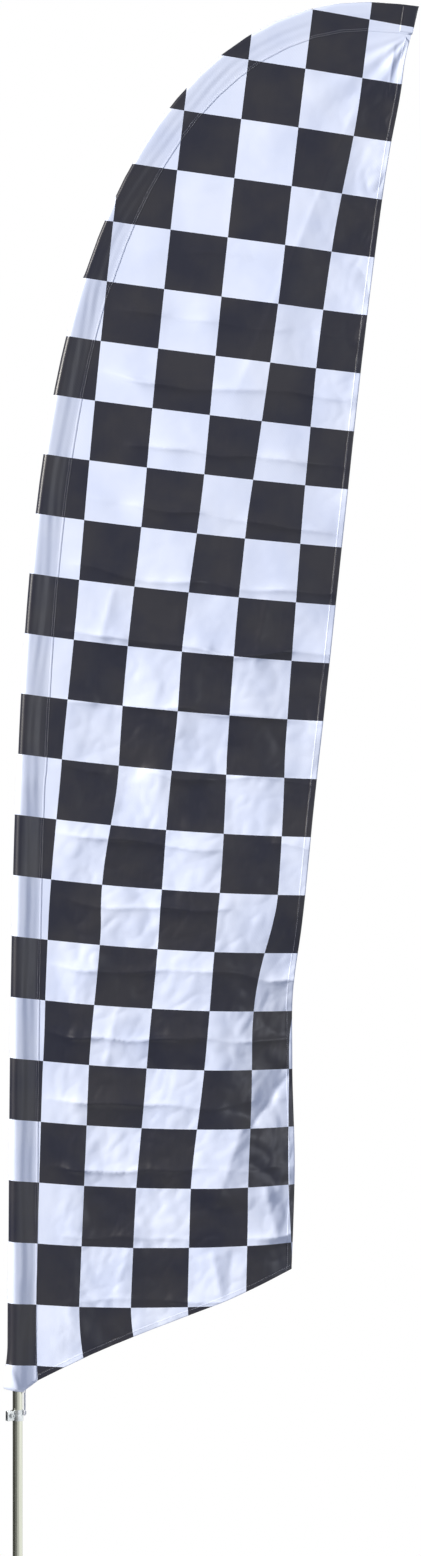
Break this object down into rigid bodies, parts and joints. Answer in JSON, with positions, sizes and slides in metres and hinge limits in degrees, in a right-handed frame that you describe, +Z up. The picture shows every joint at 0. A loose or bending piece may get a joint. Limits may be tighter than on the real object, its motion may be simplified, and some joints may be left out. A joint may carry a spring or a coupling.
{
  "type": "feather flag with pole",
  "caption": "Tall feather flag in black and white squares on a bent sectional pole, with a tie clamp, turning on a ground spike.",
  "frame": {"origin": "on the axis of the pole's straight lower part at ground level, in the plane of the step plate's underside", "axes": "+Z up along the lower pole, +X towards the flag's free edge, +Y through the flag's thickness, away from the clamp screw's head"},
  "size_m": [1.0752, 0.0713, 5.078],
  "materials": {
    "zinc_steel": "zinc plated",
    "bearing_steel": "ground",
    "cage_nylon": "moulded",
    "tube_aluminium": "satin anodised",
    "fibreglass": "pultruded",
    "tip_rubber": "moulded",
    "flag_polyester": "satin, printed in black and white squares",
    "tie_webbing": "woven",
    "tie_elastic": "braided"
  },
  "bodies": {
    "ground_spike": {"spike_rod": "zinc_steel", "step_plate": "zinc_steel", "lower_race": "bearing_steel", "journal_washer": "zinc_steel", "retaining_ring": "bearing_steel"},
    "bearing_cage": {"ball_cage": "cage_nylon"},
    "swivel": {"upper_race": "bearing_steel", "spindle_sleeve": "zinc_steel"},
    "pole": {"lower_tube": "tube_aluminium", "middle_tube": "tube_aluminium", "middle_ferrule": "zinc_steel", "upper_rod": "fibreglass", "upper_ferrule": "zinc_steel", "tip_rod": "fibreglass", "tip_cap": "tip_rubber", "pole_sleeve": "flag_polyester", "sail_panel": "flag_polyester", "tip_pocket": "flag_polyester", "corner_tab": "tie_webbing", "tie_cord": "tie_elastic"},
    "clamp": {"clamp_band": "zinc_steel", "tie_stud": "zinc_steel", "cord_eye": "tie_elastic", "clamp_nut": "zinc_steel"},
    "washer": {"screw_washer": "zinc_steel"},
    "screw": {"clamp_screw": "zinc_steel"}
  },
  "joints": [
    {"name": "swivel_turn", "type": "hinge", "parent": "ground_spike", "child": "swivel", "pos_m": [0, 0, 0], "axis": [0, 0, 1], "continuous": true},
    {"name": "cage_turn", "type": "hinge", "parent": "ground_spike", "child": "bearing_cage", "pos_m": [0, 0, 0], "axis": [0, 0, 1], "continuous": true},
    {"name": "pole_lift", "type": "slide", "parent": "swivel", "child": "pole", "axis": [0, 0, 1], "range_m": [0, 0.26]},
    {"name": "clamp_slide", "type": "slide", "parent": "pole", "child": "clamp", "axis": [0, 0, 1], "range_m": [-0.06, 0.02], "deforming": ["tie_cord"]},
    {"name": "washer_travel", "type": "slide", "parent": "clamp", "child": "washer", "axis": [0.6428, -0.766, 0], "range_m": [0, 0.003]},
    {"name": "screw_turn", "type": "hinge", "parent": "washer", "child": "screw", "pos_m": [-0.01685, -0.01414, 0.989], "axis": [0.6428, -0.766, 0], "range_deg": [0, 1081]}
  ],
  "couplings": [
    {"joint": "cage_turn", "follows": "swivel_turn", "ratio": 0.5},
    {"joint": "screw_turn", "follows": "washer_travel", "rad_per_m": 6283.2}
  ]
}
